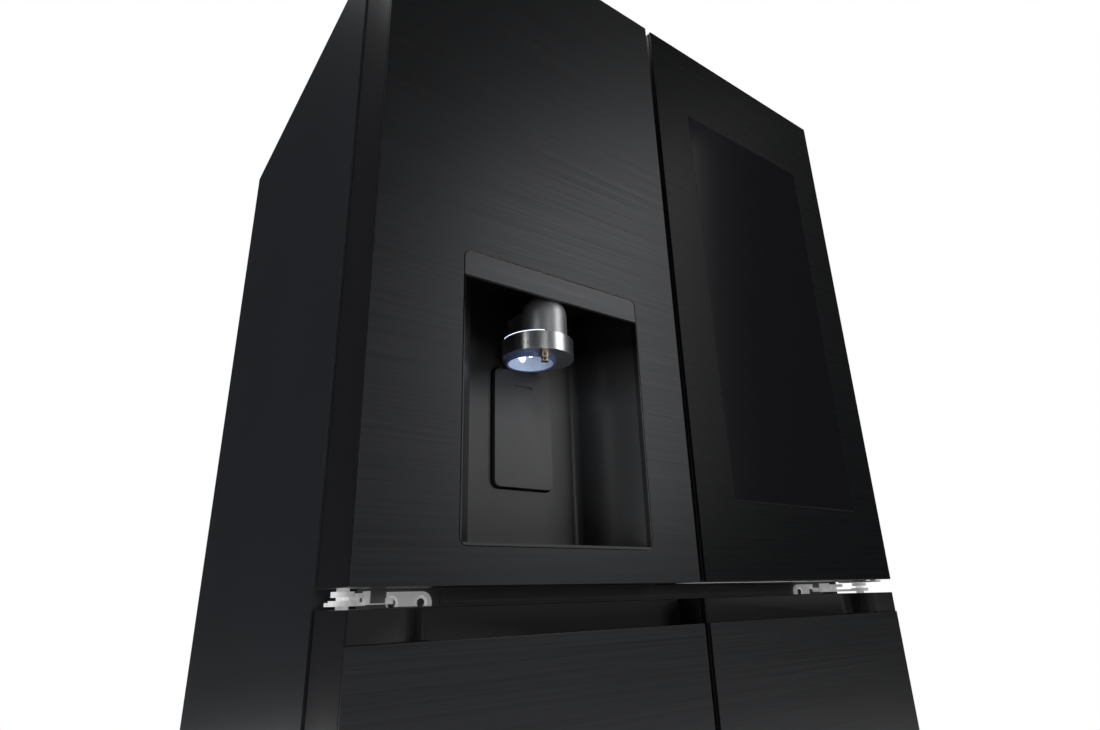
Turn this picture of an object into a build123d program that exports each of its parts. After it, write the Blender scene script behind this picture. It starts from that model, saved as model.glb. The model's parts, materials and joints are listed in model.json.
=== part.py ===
from build123d import *
import math
import os

# Four-door refrigerator with a dispenser in the upper left door and a viewing door on the right.
# Millimetres. X is left to right, +Y runs from the doors to the back, +Z is up, and the origin is
# on the floor in the middle of the footprint.

# ---- driving dimensions: overall --------------------------------------------------------------
HALF_W = 456.0            # half the cabinet's width
FRONT = -369.0            # the doors' front plane
BACK = 369.0              # the back of the cabinet
TOP = 1790.0              # top of the hinge covers
CASE_TOP = 1732.5         # top of the cabinet
SHEET = 0.8               # painted sheet metal
LINER = 2.0               # vacuum-formed inner liner

# ---- doors ------------------------------------------------------------------------------------
DOOR_EDGE = 455.0         # outer edge of every door
UPPER_GAP = 5.5           # half the gap between the upper doors
LOWER_GAP = 5.0           # half the gap between the lower doors
UPPER_Z = (873.0, 1780.0)
LOWER_Z = (62.0, 825.0)
CAP_TOP = 854.0           # top of the lower doors' handle cap
DOOR_THICK = 92.0
SKIN = 1.2                # front sheet of a door
SKIN_RETURN = 4.0         # how far that sheet folds back round the edges
DOOR_BACK = FRONT + DOOR_THICK
LINER_BACK = DOOR_BACK + 2.5
SEAL_BACK = -269.3        # back face of the door seals
CASE_FRONT = -269.0       # front face of the cabinet
SEAL_EDGE = 441.0         # outer edge of the seals, inboard of the hinge line
SEAL_WIDTH = 17.0
DIKE_BACK = -240.0        # how far the door liners' ridges reach into the cabinet
DIKE_WALL = 12.0
LEFT_X = (-DOOR_EDGE, -UPPER_GAP)
RIGHT_X = (UPPER_GAP, DOOR_EDGE)
LOW_X = (-DOOR_EDGE, -LOWER_GAP)
UPPER_SEAL_Z = (878.0, 1712.0)
LOWER_SEAL_Z = (84.0, 851.0)
CASE_SEAL_Y = (LINER_BACK, SEAL_BACK)

# ---- finger grip of the lower doors -----------------------------------------------------------
CAP_BASE = 770.0
GRIP_DEPTH = 40.0
LIP_DEPTH = 14.0
GRIP_START = (-406.0, -362.0)   # where the curve into the grip begins and ends

# ---- hinges -----------------------------------------------------------------------------------
HINGE_X = 443.0
HINGE_Y = FRONT + 50.0
VIEW_HINGE_Y = FRONT + 24.0   # hinge line of the viewing door on the inner right door
PIN_R = 6.0
VIEW_PIN_R = 4.0
RUN = 0.05                # running clearance on the radius
HINGE_PLATE_X = (-379.0, -328.5)   # screwed plate of the left middle hinge
HINGE_PLATE_Z = (855.0, 870.0)
HINGE_SCREW_X = (-374.4, -341.0)
HINGE_SCREW_Z = 858.7
HINGE_SEAT_Y = -270.2     # where the screw heads rest in their round recesses

# ---- flap between the upper doors -------------------------------------------------------------
FLAP_AXIS = (-46.0, -261.0)
FLAP_Z = (913.5, 1670.5)
FLAP_PIN_R = 3.0

# ---- compartments -----------------------------------------------------------------------------
FOAM_SIDE = 411.0         # inner face of the side foam
FOAM_BACK = 305.0         # inner face of the back foam
FRIDGE_Z = (906.0, 1678.0)
FREEZER_Z = (112.0, 834.0)
FLOOR_Z = 66.0            # underside of the floor foam
CENTRE_WALL = 25.0        # half the foam wall between the freezers
STEP_Y = 135.0            # front of the step over the machine room
STEP_Z = 300.0            # top of that step
BEAM_RIB_X = 318.0        # half the length of the rib on the middle beam
BEAM_RIB_Z = (856.5, 870.5)
MACHINE_Y = 175.0
MACHINE_Z = 258.0

# ---- dispenser --------------------------------------------------------------------------------
RECESS_X = (-347.2, -83.9)
RECESS_Z = (910.9, 1241.4)
RECESS_CORNER = 8.0
RECESS_MID = (RECESS_X[0] + RECESS_X[1]) / 2
RECESS_WALL_Y = -283.0    # the wall behind the lever
RECESS_BACK_HALF = 88.5   # half the width of that wall
BACK_CORNER = 12.0        # radius of the corners beside it
FLARE_START = (92.0, FRONT + 62.0)      # where the side walls begin to flare, from the middle
FLARE_MIDDLE = (105.0, FRONT + 34.0)
TRAY_HALF = 87.0
TRAY_Y = (-362.0, -293.0)
TRAY_DEEP = 9.0           # the tray is sunk so that its top is level with the floor
TRAY_CASE = 4.0           # wall round the well that holds it
RECESS_LIP = 1.5
RECESS_FLOOR = 914.0
RECESS_CEILING = 1236.0
HEADER_Z = 1210.1         # lower edge of the control strip
HEADER_DEPTH = 5.0
FIT_GAP = 0.8             # gap round parts that are set into a door
RING_R = 45.5
RING_Y = FRONT + 46.0
RING_Z = (1144.0, 1167.0)
BODY_R = 29.0
BODY_Y = FRONT + 31.0
DOME_Z = 1196.0
CHUTE_R = 32.0
CHUTE_AT = (-222.0, -316.0)
CHUTE_Z = (1139.0, 1160.0)
NOZZLE_AT = (-228.0, -355.0)
NOZZLE_Z = (1130.0, 1158.0)
LEVER_HALF = 43.0
LEVER_Z = (987.5, 1138.0)
LEVER_Y = FRONT + 80.0
LEVER_THICK = 8.0
LEVER_PIVOT = (-272.0, 1129.0)
LEVER_PIN_R = 3.0
POCKET_MARGIN = 2.5

# ---- viewing door -----------------------------------------------------------------------------
SOCKET_X = (432.0, 452.0)  # blocks on the inner door that hold its hinge pins
SOCKET_Y = HINGE_Y - 9.0
SOCKET_TALL = 22.5
SOCKET_GAP = 2.5          # room beside and above those blocks
SOCKET_ROOM = 6.0         # room in front of them, which the viewing door's corner needs to swing
VIEW_BACK = FRONT + 48.0
INNER_FRONT = FRONT + 52.0
GLASS_X = (80.0, 381.0)
GLASS_Z = (980.0, 1636.0)
PANE = 4.0
SPACER = 6.0              # width of the bars between the panes
REACH_X = (92.0, 368.0)   # opening through the inner right door
REACH_Z = (935.0, 1660.0)

# ---- fittings inside --------------------------------------------------------------------------
SHELF_Y = (-95.0, 268.0)
SHELF_LEVELS = (1088.0, 1290.0, 1480.0)
SHELF_GLASS = 4.0
CRISPER_Z = (911.0, 1072.0)
TRAY_WALL = 3.0
DRAWER_ROWS = ((116.0, 290.0, 118.0), (318.0, 540.0, 214.0), (556.0, 800.0, 214.0))
DRAWER_X = (34.0, 402.0)
DRAWER_FRONT = -180.0
DUCT_Y = 222.0            # front of the duct cover in the left freezer

# ---- base -------------------------------------------------------------------------------------
FOOT_AT = (415.0, -235.0)
FOOT_R = 20.0
STEM_R = 6.0
ROLLER_AT = (415.0, 300.0)
ROLLER_R = 20.0
ROLLER_HALF = 9.0
AXLE_R = 5.0
FAN_R = 62.0
SHAFT_R = 4.0
CONDENSER_FAN_AT = (-25.0, 268.0, 150.0)
EVAPORATOR_FAN_AT = (-220.0, 256.0, 730.0)


# ---- helpers ----------------------------------------------------------------------------------
def box(x0, x1, y0, y1, z0, z1):
    """A box between two corners."""
    size = Box(x1 - x0, y1 - y0, z1 - z0)
    return Pos((x0 + x1) / 2, (y0 + y1) / 2, (z0 + z1) / 2) * size


def rod(axis, radius, at, length):
    """A cylinder that starts at a point and runs along +X, +Y or +Z."""
    turn = {"X": (0, 90, 0), "Y": (-90, 0, 0), "Z": (0, 0, 0)}[axis]
    align = (Align.CENTER, Align.CENTER, Align.MIN)
    return Pos(*at) * Rot(*turn) * Cylinder(radius, length, align=align)


def mirrored(shape):
    """The same shape on the other side of the middle plane."""
    return shape.mirror(Plane.YZ)


def both(shape):
    """A shape and its mirror image."""
    return [shape, mirrored(shape)]


def frame(x, z, y, width):
    """A rectangular ring in the plane of the doors."""
    outer = box(x[0], x[1], y[0], y[1], z[0], z[1])
    inner = box(x[0] + width, x[1] - width, y[0] - 1, y[1] + 1, z[0] + width, z[1] - width)
    return outer - inner


def bars(x, z, inner_x, inner_z, y):
    """A rectangular ring as four separate bars: left, right, bottom and top."""
    left = box(x[0], inner_x[0], *y, *z)
    right = box(inner_x[1], x[1], *y, *z)
    bottom = box(*inner_x, *y, z[0], inner_z[0])
    top = box(*inner_x, *y, inner_z[1], z[1])
    return [left, right, bottom, top]


def tray(x, y, z, wall=TRAY_WALL):
    """An open tray: a floor and four walls."""
    outer = box(x[0], x[1], y[0], y[1], z[0], z[1])
    inner = box(x[0] + wall, x[1] - wall, y[0] + wall, y[1] - wall, z[0] + wall, z[1] + 1)
    return outer - inner


def plate(outline, z0, z1):
    """A flat plate with a given outline of (x, y) points."""
    return Pos(0, 0, z0) * extrude(make_face(Polyline(*outline, close=True)), z1 - z0)


def rounded(x, y, z, radius):
    """A box with its four corners rounded, seen from the front."""
    width, height = x[1] - x[0], z[1] - z[0]
    centre = ((x[0] + x[1]) / 2, y[0], (z[0] + z[1]) / 2)
    face = Plane(origin=centre, x_dir=(1, 0, 0), z_dir=(0, 1, 0)) * RectangleRounded(width, height, radius)
    return extrude(face, y[1] - y[0])


def save(node, *shapes):
    """Write one node. A shape may be a single piece or a list of pieces."""
    pieces = []
    for shape in shapes:
        for piece in shape if isinstance(shape, list) else [shape]:
            pieces += piece.solids()
    export_step(Compound(pieces), f"parts/{node}.step")


# ---- cabinet ----------------------------------------------------------------------------------
def make_wrapper():
    """The outer U of painted sheet, with the folded front face that the seals rest on."""
    side = box(-HALF_W, -HALF_W + SHEET, CASE_FRONT, BACK - 2, 30, CASE_TOP)
    flange = box(-HALF_W, -FOAM_SIDE, CASE_FRONT, CASE_FRONT + SHEET, FLOOR_Z, CASE_TOP)
    roof = box(-HALF_W, HALF_W, CASE_FRONT, BACK - 2, CASE_TOP - SHEET, CASE_TOP)
    brow = box(-HALF_W, HALF_W, CASE_FRONT, CASE_FRONT + SHEET, FRIDGE_Z[1] + LINER, CASE_TOP)
    sill = box(-HALF_W, HALF_W, CASE_FRONT, CASE_FRONT + SHEET, FLOOR_Z, FREEZER_Z[0] - LINER)
    post = box(-CENTRE_WALL, CENTRE_WALL, CASE_FRONT, CASE_FRONT + SHEET, FLOOR_Z, FREEZER_Z[1] + LINER)
    wrapper = side + mirrored(side) + flange + mirrored(flange) + roof + brow + sill + post
    save("cabinet_wrapper", wrapper)


def make_back_panel():
    """Sheet that closes the back above the machine room, with two pressed stiffening ribs."""
    panel = box(-HALF_W + SHEET, HALF_W - SHEET, BACK - 2, BACK - 1, MACHINE_Z + 4, CASE_TOP)
    for x in (-200, 200):
        panel += box(x - 12, x + 12, BACK - 1, BACK, 420, 1560)
    save("back_panel", panel)


def make_foam():
    """Slabs of insulation between the sheet and the liners."""
    inside = HALF_W - SHEET
    front = CASE_FRONT + SHEET
    back = BACK - 2
    side = box(-inside, -FOAM_SIDE, front, back, FLOOR_Z, CASE_TOP - SHEET)
    top = box(-FOAM_SIDE, FOAM_SIDE, front, back, FRIDGE_Z[1] + LINER, CASE_TOP - SHEET)
    rear_fridge = box(-FOAM_SIDE, FOAM_SIDE, FOAM_BACK, back, FRIDGE_Z[0] - LINER, FRIDGE_Z[1] + LINER)
    divider = box(-FOAM_SIDE, FOAM_SIDE, front, back, FREEZER_Z[1] + LINER, FRIDGE_Z[0] - LINER)
    rear_freezer = box(-FOAM_SIDE, FOAM_SIDE, FOAM_BACK, back, STEP_Z, FREEZER_Z[1] + LINER)
    floor = box(-FOAM_SIDE, FOAM_SIDE, front, MACHINE_Y, FLOOR_Z, FREEZER_Z[0] - LINER)
    step_front = box(-FOAM_SIDE, FOAM_SIDE, STEP_Y, MACHINE_Y, FREEZER_Z[0] - LINER, STEP_Z)
    step_top = box(-FOAM_SIDE, FOAM_SIDE, MACHINE_Y, back, MACHINE_Z, STEP_Z)
    wall_front = box(-CENTRE_WALL, CENTRE_WALL, front, STEP_Y, FREEZER_Z[0] - LINER, FREEZER_Z[1] + LINER)
    wall_back = box(-CENTRE_WALL, CENTRE_WALL, STEP_Y, FOAM_BACK, STEP_Z, FREEZER_Z[1] + LINER)
    slabs = [top, rear_fridge, divider, rear_freezer, floor, step_front, step_top, wall_front, wall_back]
    save("insulation_foam", both(side), slabs)


def make_fridge_liner():
    """The upper compartment's liner, with ledges for the shelves."""
    wall = FOAM_SIDE - LINER
    outer = box(-FOAM_SIDE, FOAM_SIDE, CASE_FRONT + SHEET, FOAM_BACK, FRIDGE_Z[0] - LINER, FRIDGE_Z[1] + LINER)
    inner = box(-wall, wall, CASE_FRONT - 1, FOAM_BACK - LINER, *FRIDGE_Z)
    save("fridge_liner", outer - inner)


def make_freezer_liners():
    """The two lower liners, each stepped over the machine room."""
    x0, x1 = -FOAM_SIDE, -CENTRE_WALL
    z0, z1 = FREEZER_Z
    outer = box(x0, x1, CASE_FRONT + SHEET, FOAM_BACK, z0 - LINER, z1 + LINER)
    outer -= box(x0, x1, STEP_Y, FOAM_BACK, z0 - LINER, STEP_Z)
    inner = box(x0 + LINER, x1 - LINER, CASE_FRONT - 1, FOAM_BACK - LINER, z0, z1)
    inner -= box(x0, x1, STEP_Y - LINER, FOAM_BACK, z0, STEP_Z + LINER)
    save("freezer_liners", both(outer - inner))


def make_middle_beam():
    """The cross beam between the upper and lower doors, with a raised rib."""
    low, high = FREEZER_Z[1] + LINER, FRIDGE_Z[0] - LINER
    face = box(-FOAM_SIDE, FOAM_SIDE, CASE_FRONT, CASE_FRONT + SHEET, low, high)
    rib = box(-BEAM_RIB_X, BEAM_RIB_X, CASE_FRONT - 3.5, CASE_FRONT, *BEAM_RIB_Z)
    save("middle_beam", face + rib)


def make_light_panel():
    """The lamp cover in the ceiling of the upper compartment."""
    cover = box(-160, 160, -130, 40, FRIDGE_Z[1] - 7, FRIDGE_Z[1])
    save("light_panel", chamfer(cover.edges().group_by(Axis.Z)[0], 4))


def make_ducts():
    """Cold-air covers: a tower in the upper compartment and a plate in the left freezer."""
    tower = box(-62, 62, SHELF_Y[1] + 4, FOAM_BACK - LINER, FRIDGE_Z[0] + 14, FRIDGE_Z[1] - 28)
    for level in SHELF_LEVELS:
        for side in (-1, 1):
            x = side * 36
            tower -= box(x - 16, x + 16, SHELF_Y[1], SHELF_Y[1] + 12, level + 60, level + 72)
    cover = box(-FOAM_SIDE + 6, -CENTRE_WALL - 6, DUCT_Y, DUCT_Y + 3, STEP_Z + 10, FREEZER_Z[1] - 6)
    for row in range(4):
        z = 330 + row * 14
        cover -= box(-320, -120, DUCT_Y - 1, DUCT_Y + 4, z, z + 6)
    fan_x, _, fan_z = EVAPORATOR_FAN_AT
    cover -= rod("Y", FAN_R + 4, (fan_x, DUCT_Y - 1, fan_z), 5)
    for angle in (0, 60, 120):
        spoke = Box(2 * (FAN_R + 6), 3, 3)
        cover += Pos(fan_x, DUCT_Y + 1.5, fan_z) * Rot(0, angle, 0) * spoke
    save("air_duct_cover", tower, cover)


def make_evaporator():
    """Finned coil behind the freezer's duct cover."""
    x0, x1, y, z0 = -380.0, -60.0, 270.0, 380.0
    pitch = 34.0
    rows = 7
    coil = rod("X", 4, (x0, y, z0), x1 - x0)
    for row in range(1, rows):
        z = z0 + row * pitch
        end = x1 if row % 2 else x0
        coil += rod("X", 4, (x0, y, z), x1 - x0)
        coil += rod("Z", 4, (end, y, z - pitch), pitch)
    for index in range(12):
        x = x0 + 22 + index * 25
        coil += box(x - 0.5, x + 0.5, y - 22, y + 22, z0 - 14, z0 + (rows - 1) * pitch + 14)
    save("evaporator", coil)


def make_shelves():
    """Glass panes in pairs, and the plastic frames that carry them."""
    panes = []
    frames = []
    for level in SHELF_LEVELS:
        pane = box(-392, -12, SHELF_Y[0] + 8, SHELF_Y[1] - 6, level, level + SHELF_GLASS)
        rim = box(-404, -3, SHELF_Y[0], SHELF_Y[1], level - 8, level + SHELF_GLASS + 3)
        rim -= box(-386, -18, SHELF_Y[0] + 14, SHELF_Y[1] - 12, level - 9, level + 9)
        rim -= box(-392, -12, SHELF_Y[0] + 8, SHELF_Y[1] - 6, level, level + 9)
        ledge = box(-FOAM_SIDE + LINER, -404, SHELF_Y[0] + 20, SHELF_Y[1] - 20, level - 16, level - 2)
        panes += both(pane)
        frames += both(rim + ledge)
    save("glass_shelves", panes)
    save("shelf_frames", frames)


def make_crispers():
    """Two vegetable drawers under the lowest shelf, each with a grip along its front."""
    y = (SHELF_Y[0] + 6, SHELF_Y[1] - 12)
    drawer = tray((-400, -6), y, CRISPER_Z)
    drawer += box(-400, -6, y[0] - 10, y[0], CRISPER_Z[0], CRISPER_Z[1])
    drawer -= box(-280, -126, y[0] - 11, y[0] - 3, CRISPER_Z[1] - 34, CRISPER_Z[1] - 12)
    save("crisper_drawers", both(drawer))


def make_freezer_drawers():
    """Three drawers in each freezer; the lowest is shorter because of the step."""
    drawers = []
    for low, high, rear in DRAWER_ROWS:
        x = (-DRAWER_X[1], -DRAWER_X[0])
        drawer = tray(x, (DRAWER_FRONT, rear), (low, high))
        drawer += box(x[0], x[1], DRAWER_FRONT - 8, DRAWER_FRONT, low, high)
        drawers += both(drawer)
    save("freezer_drawers", drawers)


# ---- machine room and base --------------------------------------------------------------------
def make_base():
    """Side rails, cross members and the tray that carries the compressor."""
    rail = box(-452, -378, CASE_FRONT + 7, BACK - 6, 34, FLOOR_Z)
    rail -= box(-446, -384, CASE_FRONT + 60, BACK - 12, 33, FLOOR_Z - 4)
    rail += box(-435, -395, FOOT_AT[1] - 18, FOOT_AT[1] + 18, 34, FLOOR_Z - 2)
    rail -= rod("Z", STEM_R + RUN, (-FOOT_AT[0], FOOT_AT[1], 33), 26)
    for x in (-FOOT_AT[0] - 19, -FOOT_AT[0] + 13):
        cheek = box(x, x + 6, ROLLER_AT[1] - 14, ROLLER_AT[1] + 14, 12, FLOOR_Z - 2)
        rail += cheek
    axle = rod("X", AXLE_R, (-FOOT_AT[0] - 19, ROLLER_AT[1], ROLLER_R), 38)
    rail += axle
    front = box(-378, 378, CASE_FRONT + 7, CASE_FRONT + 27, 40, FLOOR_Z)
    tray_plate = box(-378, 378, MACHINE_Y + 2, BACK - 6, 44, 48)
    for y in (MACHINE_Y + 2, BACK - 9):
        tray_plate += box(-378, 378, y, y + 3, 44, FLOOR_Z)
    save("base_frame", rail + mirrored(rail) + front + tray_plate)


def make_toe_grille():
    """Slotted kick plate under the doors."""
    grille = box(-372, 372, CASE_FRONT - 22, CASE_FRONT - 18, 14, 58)
    for x in (-366, 366):
        grille += box(x - 4, x + 4, CASE_FRONT - 18, CASE_FRONT + 7, 42, 56)
    for index in range(15):
        x = -336 + index * 48
        grille -= box(x - 18, x + 18, CASE_FRONT - 23, CASE_FRONT - 17, 30, 36)
    save("toe_grille", grille)


def make_machine_room_cover():
    """Louvred cover over the machine room, open round the water inlet."""
    cover = box(-HALF_W + 8, HALF_W - 8, BACK - 2, BACK, 40, MACHINE_Z + 3)
    for column in (-250, 0, 150):
        for row in range(8):
            z = 80 + row * 20
            cover -= box(column - 55, column + 55, BACK - 3, BACK + 1, z, z + 8)
    cover -= box(300, 360, BACK - 3, BACK + 1, 165, 225)
    cover -= box(300, 360, BACK - 3, BACK + 1, 80, 110)
    save("machine_room_cover", cover)


def make_compressor():
    """Domed pump on four feet."""
    x, y, low, high, radius = -185.0, 270.0, 62.0, 214.0, 72.0
    pump = rod("Z", radius, (x, y, low), high - low)
    pump = fillet(pump.edges(), 26)
    for dx in (-1, 1):
        for dy in (-1, 1):
            foot = box(-11, 11, -11, 11, 48, 66)
            pump += Pos(x + dx * 56, y + dy * 56, 0) * foot
    pump += box(x - 72, x + 72, y - 72, y + 72, 60, 64)
    save("compressor", pump)


def serpentine(x0, x1, y, z0, pitch, rows, radius):
    """A tube that runs to and fro, with round bends at its ends."""
    points = []
    for row in range(rows):
        ends = (x0, x1) if row % 2 == 0 else (x1, x0)
        points += [(x, y, z0 + row * pitch) for x in ends]
    path = FilletPolyline(*points, radius=pitch / 2 - 0.5)
    return sweep(Plane(origin=points[0], z_dir=(1, 0, 0)) * Circle(radius), path=path)


def make_condenser():
    """Three serpentine tubes through a stack of punched fins."""
    x0, x1, z0, pitch, rows, radius = 70.0, 285.0, 76.0, 28.0, 6, 4.0
    depths = (205.0, 255.0, 305.0)
    tubes = [serpentine(x0, x1, y, z0, pitch, rows, radius) for y in depths]
    punched = box(0, 1, 190, 320, 62, 230)
    for y in depths:
        for row in range(rows):
            punched -= rod("X", radius + 0.2, (-1, y, z0 + row * pitch), 3)
    fins = [Pos(x0 + 20 + index * 22, 0, 0) * punched for index in range(9)]
    feet = [box(x, x + 3, 188, 322, 48, 61) for x in (x0 + 42, x1 - 40)]
    shelf = box(x0 + 18, x1 - 17, 190, 320, 61, 62)
    save("condenser_coil", tubes, fins, feet, shelf)


def make_fan(radius, hub, thickness, blades):
    """A fan about Z: hub with a running bore, and tilted blades."""
    wheel = Cylinder(hub, thickness)
    for index in range(blades):
        blade = Pos((hub + radius) / 2 - 2, 0, 0) * Rot(32, 0, 0) * Box(radius - hub + 4, 26, 2)
        wheel += Rot(0, 0, 360 * index / blades) * blade
    wheel &= Cylinder(radius, 3 * thickness)
    return wheel - Cylinder(SHAFT_R + RUN, 4 * thickness)


def make_fans():
    """The two fans, and their motors with brackets."""
    thickness = 20.0
    wheel = make_fan(FAN_R, 18, thickness, 5)
    save("condenser_fan", Pos(*CONDENSER_FAN_AT) * Rot(0, 90, 0) * wheel)
    save("evaporator_fan", Pos(*EVAPORATOR_FAN_AT) * Rot(-90, 0, 0) * wheel)
    cx, cy, cz = CONDENSER_FAN_AT
    shaft = rod("X", SHAFT_R, (cx - 12, cy, cz), 32)
    motor = rod("X", 24, (cx + 14, cy, cz), 30) + box(cx + 24, cx + 34, cy - 10, cy + 10, 48, cz)
    ex, ey, ez = EVAPORATOR_FAN_AT
    spindle = rod("Y", SHAFT_R, (ex, ey - 12, ez), 32)
    drive = rod("Y", 24, (ex, ey + 14, ez), FOAM_BACK - LINER - ey - 14)
    save("fan_motors", shaft + motor, spindle + drive)


def make_rear_connections():
    """Water valve with its threaded inlet, and the block where the mains lead enters."""
    valve = box(308, 352, 300, 352, 168, 222)
    inlet = rod("Y", 13.2, (330, 352, 195), BACK - 352) - rod("Y", 9, (330, 356, 195), BACK - 350)
    stand = box(312, 348, 318, 340, 48, 168)
    block = box(304, 356, BACK - 22, BACK - 4, 84, 106)
    block += box(312, 348, 340, BACK - 4, 84, 106)
    save("rear_connections", valve + inlet + stand + block)


def make_feet():
    """Screw-in feet at the front."""
    for side, sign in (("left", -1), ("right", 1)):
        at = (sign * FOOT_AT[0], FOOT_AT[1])
        foot = rod("Z", FOOT_R, (*at, 0), 9)
        foot = chamfer(foot.edges().group_by(Axis.Z)[-1], 3)
        nut = extrude(RegularPolygon(11, 6), 8)
        foot += Pos(*at, 9) * nut
        foot += rod("Z", STEM_R, (*at, 9), 46)
        save(f"levelling_leg_{side}", foot)


def make_rollers():
    """Wheels at the rear corners."""
    for side, sign in (("left", -1), ("right", 1)):
        at = (sign * ROLLER_AT[0] - ROLLER_HALF, ROLLER_AT[1], ROLLER_R)
        wheel = rod("X", ROLLER_R, at, 2 * ROLLER_HALF)
        wheel = fillet(wheel.edges(), 2)
        save(f"rear_roller_{side}", wheel - rod("X", AXLE_R + RUN, at, 2 * ROLLER_HALF))


# ---- hinges -----------------------------------------------------------------------------------
def top_hinge():
    """Cranked bracket on the cabinet's top that reaches over the left door."""
    arm_z = (1784.0, 1787.0)
    foot = box(-452, -404, -252, -176, CASE_TOP, CASE_TOP + 4)
    riser = box(-452, -404, -256, -252, CASE_TOP, arm_z[1])
    arm = box(-452, -430, HINGE_Y, -254, *arm_z) + rod("Z", 11, (-HINGE_X + 2, HINGE_Y, arm_z[0]), 3)
    pin = rod("Z", PIN_R, (-HINGE_X, HINGE_Y, 1763), arm_z[0] - 1763)
    return foot + riser + arm + pin


def bottom_hinge():
    """Bracket under the left lower door, with a pin that stands up."""
    plate_z = (54.0, 60.0)
    arm = box(-452, -404, HINGE_Y, CASE_FRONT + 7, *plate_z) + rod("Z", 11, (-HINGE_X + 2, HINGE_Y, 54), 6)
    lug = box(-452, -404, CASE_FRONT + 3, CASE_FRONT + 7, 36, 60)
    pin = rod("Z", PIN_R, (-HINGE_X, HINGE_Y, plate_z[1]), 22)
    return arm + lug + pin


def middle_hinge():
    """Bracket between the doors: a screwed plate, a channel, an arm and two stacked knuckles."""
    low, high = HINGE_PLATE_Z
    mount = box(*HINGE_PLATE_X, -273, CASE_FRONT, low, high)
    corner = mount.edges().filter_by(Axis.Y).sort_by(Axis.Z)[-2:].sort_by(Axis.X)[-1]
    mount = fillet(corner, 11.5)
    for x in HINGE_SCREW_X:
        mount -= rod("Y", 7.3, (x, -274, HINGE_SCREW_Z), HINGE_SEAT_Y + 274)
    channel = box(-405, HINGE_PLATE_X[0], -288, CASE_FRONT, 857.8, 859)
    channel += box(-405, -403.8, -288, CASE_FRONT, 857.8, high + 1)
    channel += box(HINGE_PLATE_X[0] - 1.2, HINGE_PLATE_X[0], -288, CASE_FRONT, 857.8, 864)
    arm = plate([(-404, -269), (-438, -269), (-454, -300), (-455, HINGE_Y),
                 (-431, HINGE_Y), (-426, -296), (-420, -279), (-404, -276)], 857, 860.5)
    block = box(-421.5, -415.5, -302, -276, 864.4, 868.8) + box(-421.5, -415.5, -290, -276, 857, 866)
    knuckles = rod("Z", 13, (-HINGE_X, HINGE_Y, 857), 5)
    knuckles += rod("Z", 11, (-HINGE_X, HINGE_Y, 865), 5)
    pin = rod("Z", PIN_R, (-HINGE_X, HINGE_Y, 838), 52)
    return mount + channel + arm + block + knuckles + pin


def make_hinges():
    """All the brackets, the screws that hold them and the covers on top."""
    save("hinge_brackets", both(top_hinge()), both(bottom_hinge()))
    save("middle_hinges", both(middle_hinge()))
    screws = []
    for x in (-418, -438):
        for y in (-232, -196):
            screws += both(rod("Z", 5, (x, y, CASE_TOP + 4), 3))
    for x in HINGE_SCREW_X:
        screws += both(rod("Y", 4.3, (x, HINGE_SEAT_Y - 2.4, HINGE_SCREW_Z), 2.4))
    save("hinge_screws", screws)
    cover = box(-454, -398, -340, -168, CASE_TOP, TOP)
    cover = fillet(cover.edges().filter_by(Axis.Z), 8)
    cover -= box(-455, -397, -341, -262, CASE_TOP - 1, 1783.6)
    cover -= box(-453, -400, -332, -172, CASE_TOP - 1, 1787.6)
    save("hinge_covers", both(cover))


# ---- left door --------------------------------------------------------------------------------
def door_skin(x, z):
    """Front sheet of a door, folded back round its four edges."""
    shell = box(x[0], x[1], FRONT, FRONT + SKIN_RETURN, z[0], z[1])
    return shell - box(x[0] + SKIN, x[1] - SKIN, FRONT + SKIN, FRONT + SKIN_RETURN + 1, z[0] + SKIN, z[1] - SKIN)


def seal(x, z, back):
    """Magnetic seal: a ring with a bellows groove round its outside."""
    ring = frame(x, z, (back[0], back[1]), SEAL_WIDTH)
    middle = (back[0] + back[1]) / 2
    groove = box(x[0] - 1, x[1] + 1, middle - 0.8, middle + 0.8, z[0] - 1, z[1] + 1)
    groove -= box(x[0] + 2, x[1] - 2, middle - 2, middle + 2, z[0] + 2, z[1] - 2)
    return ring - groove


def recess_hole(grow, y0, y1):
    """The rounded outline that the dispenser fills in the door."""
    x = (RECESS_X[0] - grow, RECESS_X[1] + grow)
    z = (RECESS_Z[0] - grow, RECESS_Z[1] + grow)
    return rounded(x, (y0, y1), z, RECESS_CORNER + grow)


def make_left_door():
    """Skin, foam core, inner liner and seal of the left door."""
    hole = recess_hole(FIT_GAP, FRONT - 1, DOOR_BACK + 1)
    save("left_door_skin", door_skin(LEFT_X, UPPER_Z) - hole)
    core = box(LEFT_X[0] + SKIN, LEFT_X[1] - SKIN, FRONT + SKIN, DOOR_BACK, UPPER_Z[0] + SKIN, UPPER_Z[1] - SKIN)
    core -= hole + tray_well(TRAY_CASE + FIT_GAP, RECESS_FLOOR)
    core -= rod("Z", PIN_R + RUN, (-HINGE_X, HINGE_Y, 1761), 20)
    core -= rod("Z", PIN_R + RUN, (-HINGE_X, HINGE_Y, 872), 20)
    save("left_door_core", core)
    save("left_door_liner", left_liner())
    save("left_door_gasket", seal((-SEAL_EDGE, -12), UPPER_SEAL_Z, CASE_SEAL_Y))


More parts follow.
